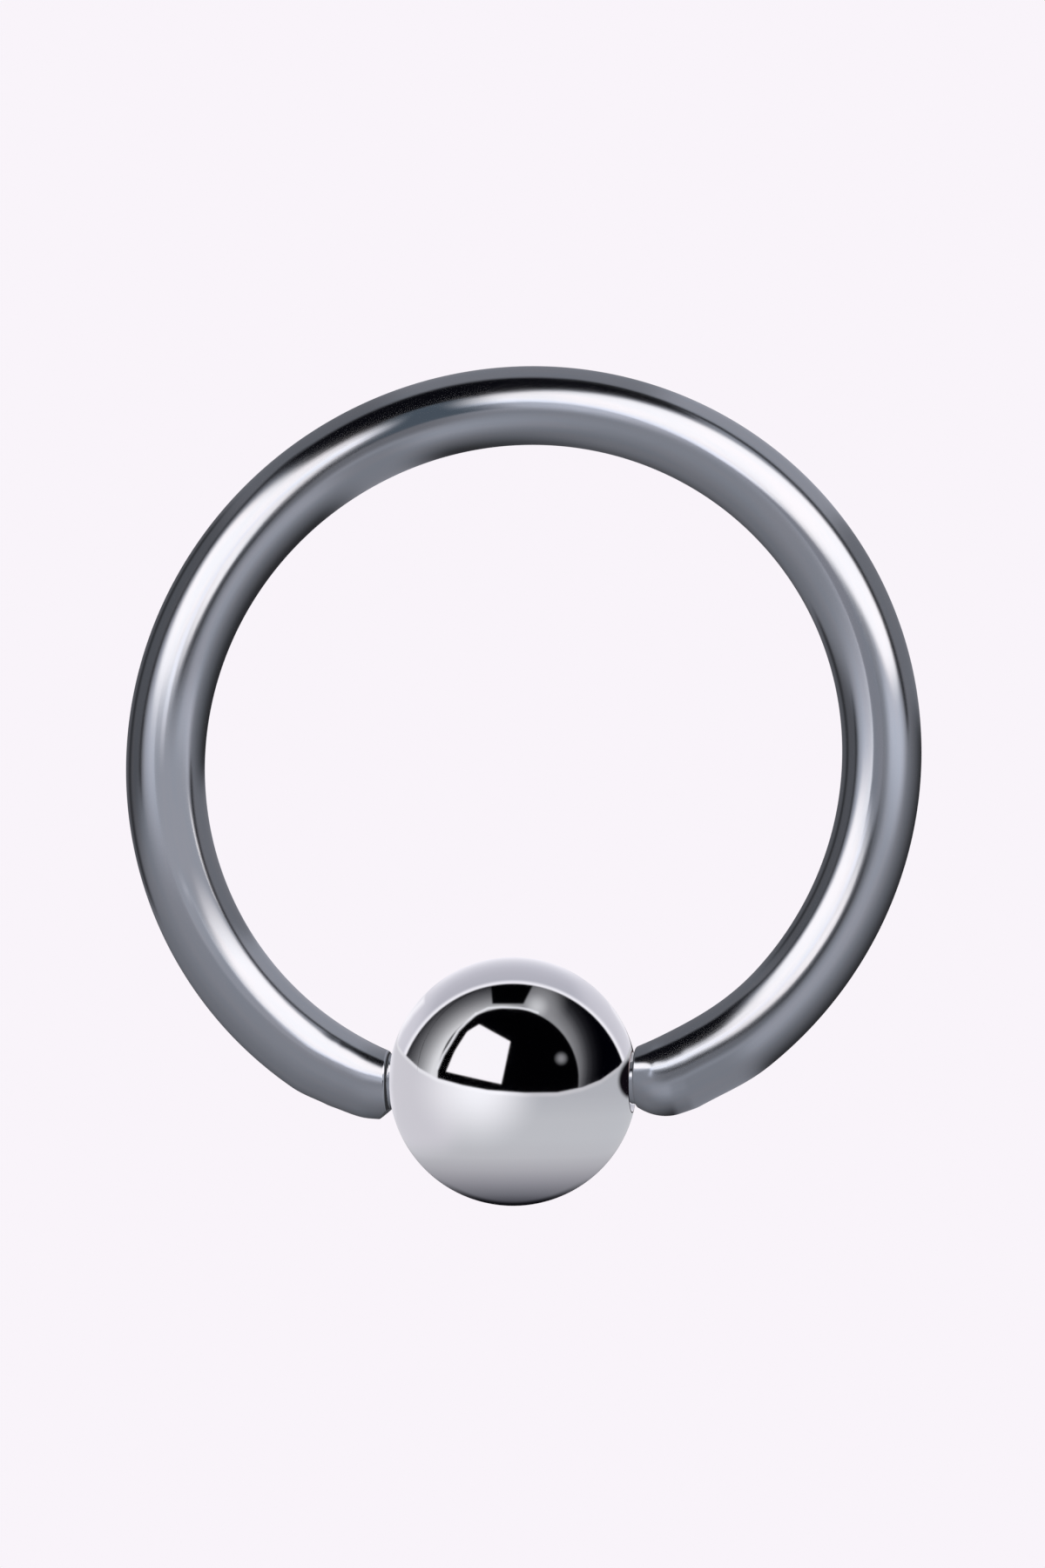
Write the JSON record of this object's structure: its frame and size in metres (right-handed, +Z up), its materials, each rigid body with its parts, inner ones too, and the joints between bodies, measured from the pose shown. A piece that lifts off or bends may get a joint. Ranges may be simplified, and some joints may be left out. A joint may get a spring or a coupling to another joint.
{
  "type": "captive bead ring",
  "caption": "Round wire body-jewellery ring of polished steel whose eased, domed ends hold a dimpled ball bead captive between them.",
  "frame": {"origin": "on the surface the ring lies on, under the middle of its outline", "axes": "+Z up from that surface; +Y from the bead towards the wire opposite it; +X along the axis through both noses, on which the bead turns"},
  "size_m": [0.0162, 0.017, 0.005],
  "materials": {
    "ring_steel": "polished drawn wire, slightly soft reflections",
    "bead_steel": "mirror polished"
  },
  "bodies": {
    "ring": {"ring": "ring_steel"},
    "bead": {"bead": "bead_steel"}
  },
  "joints": [
    {"name": "bead_spin", "type": "hinge", "parent": "ring", "child": "bead", "pos_m": [0, -0.00604, 0.0025], "axis": [1, 0, 0], "continuous": true}
  ]
}
